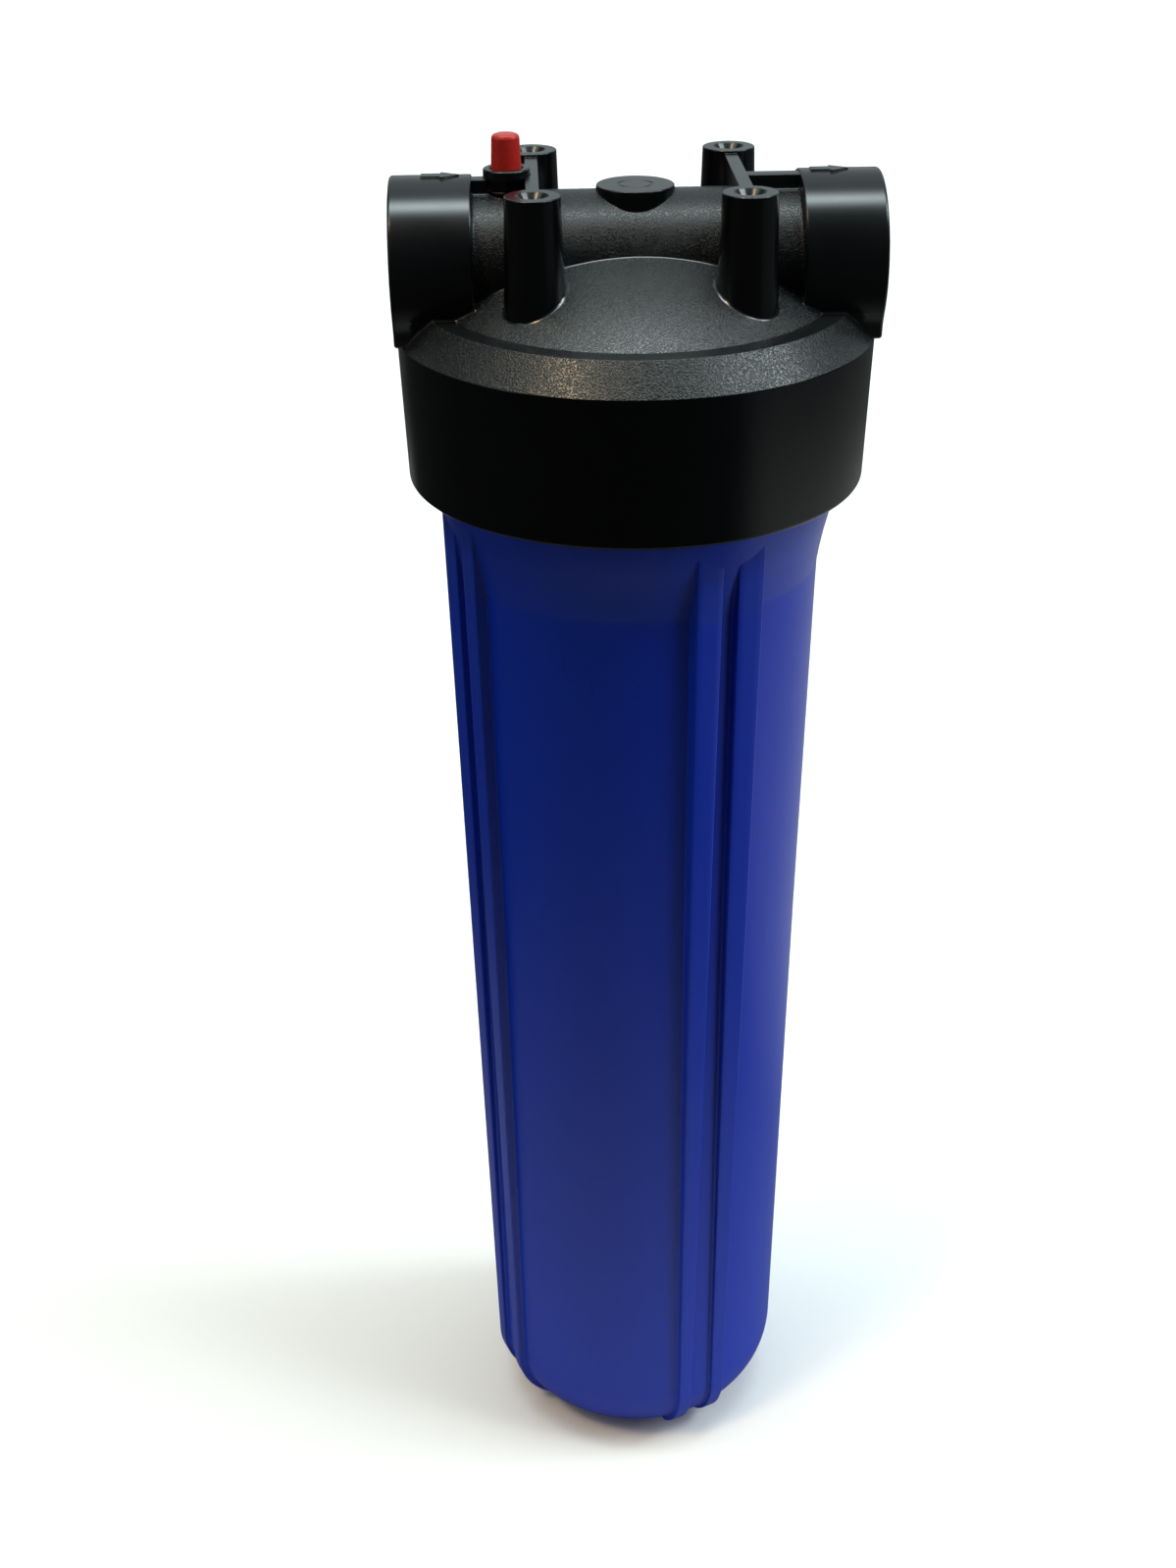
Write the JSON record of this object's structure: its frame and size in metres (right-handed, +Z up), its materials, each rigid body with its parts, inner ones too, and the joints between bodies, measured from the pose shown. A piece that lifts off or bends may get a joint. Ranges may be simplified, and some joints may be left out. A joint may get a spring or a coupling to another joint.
{
  "type": "cartridge filter housing",
  "caption": "Tall water filter housing: black ported head with mounting bosses and a red pressure-relief button over a screw-on blue ribbed sump holding a pleated cartridge.",
  "frame": {"origin": "middle of the flat disc under the sump, the lowest point of the housing", "axes": "+Z up along the sump's centre line, +X along the ports from inlet to outlet, -Y is the side the picture was taken from"},
  "size_m": [0.1848, 0.1848, 0.6169],
  "materials": {
    "head_plastic": "black moulded polypropylene, leather-grain on the dome, bevel and tube, smooth on the ring, bosses and collars",
    "sump_plastic": "ultramarine blue moulded polypropylene, satin gloss",
    "button_plastic": "red moulded plastic, satin",
    "seal_rubber": "black nitrile rubber",
    "gasket_rubber": "off-white soft rubber",
    "stem_steel": "stainless steel",
    "pleat_media": "spun-bonded polyester sheet, pleated",
    "core_plastic": "white polypropylene",
    "cap_plastic": "blue moulded plastic"
  },
  "bodies": {
    "head_body": {"head": "head_plastic", "relief_bonnet": "head_plastic", "relief_bonnet_seal": "seal_rubber"},
    "sump_seal": {"main_o_ring": "seal_rubber"},
    "sump_body": {"sump": "sump_plastic", "cartridge_media": "pleat_media", "cartridge_core": "core_plastic", "cartridge_top_cap": "cap_plastic", "cartridge_bottom_cap": "cap_plastic", "cartridge_top_gasket": "gasket_rubber", "cartridge_bottom_gasket": "gasket_rubber", "cartridge_band_1": "core_plastic", "cartridge_band_2": "core_plastic", "cartridge_band_3": "core_plastic", "cartridge_band_4": "core_plastic"},
    "relief_plunger": {"relief_button": "button_plastic", "relief_stem": "stem_steel", "relief_stem_seal": "seal_rubber", "relief_stem_clip": "stem_steel", "relief_spring": "stem_steel"}
  },
  "joints": [
    {"name": "sump_lower", "type": "slide", "parent": "head_body", "child": "sump_seal", "axis": [0, 0, -1], "range_m": [0, 0.027]},
    {"name": "sump_turn", "type": "hinge", "parent": "sump_seal", "child": "sump_body", "pos_m": [0, 0, 0.5], "axis": [0, 0, -1], "range_deg": [0, 1080]},
    {"name": "relief_press", "type": "slide", "parent": "head_body", "child": "relief_plunger", "axis": [0, 0, -1], "range_m": [0, 0.0023], "stiffness_N_per_m": 800, "springref_m": -0.002, "deforming": ["relief_spring"]}
  ],
  "couplings": [
    {"joint": "sump_lower", "follows": "sump_turn", "m_per_rad": 0.0014324}
  ]
}
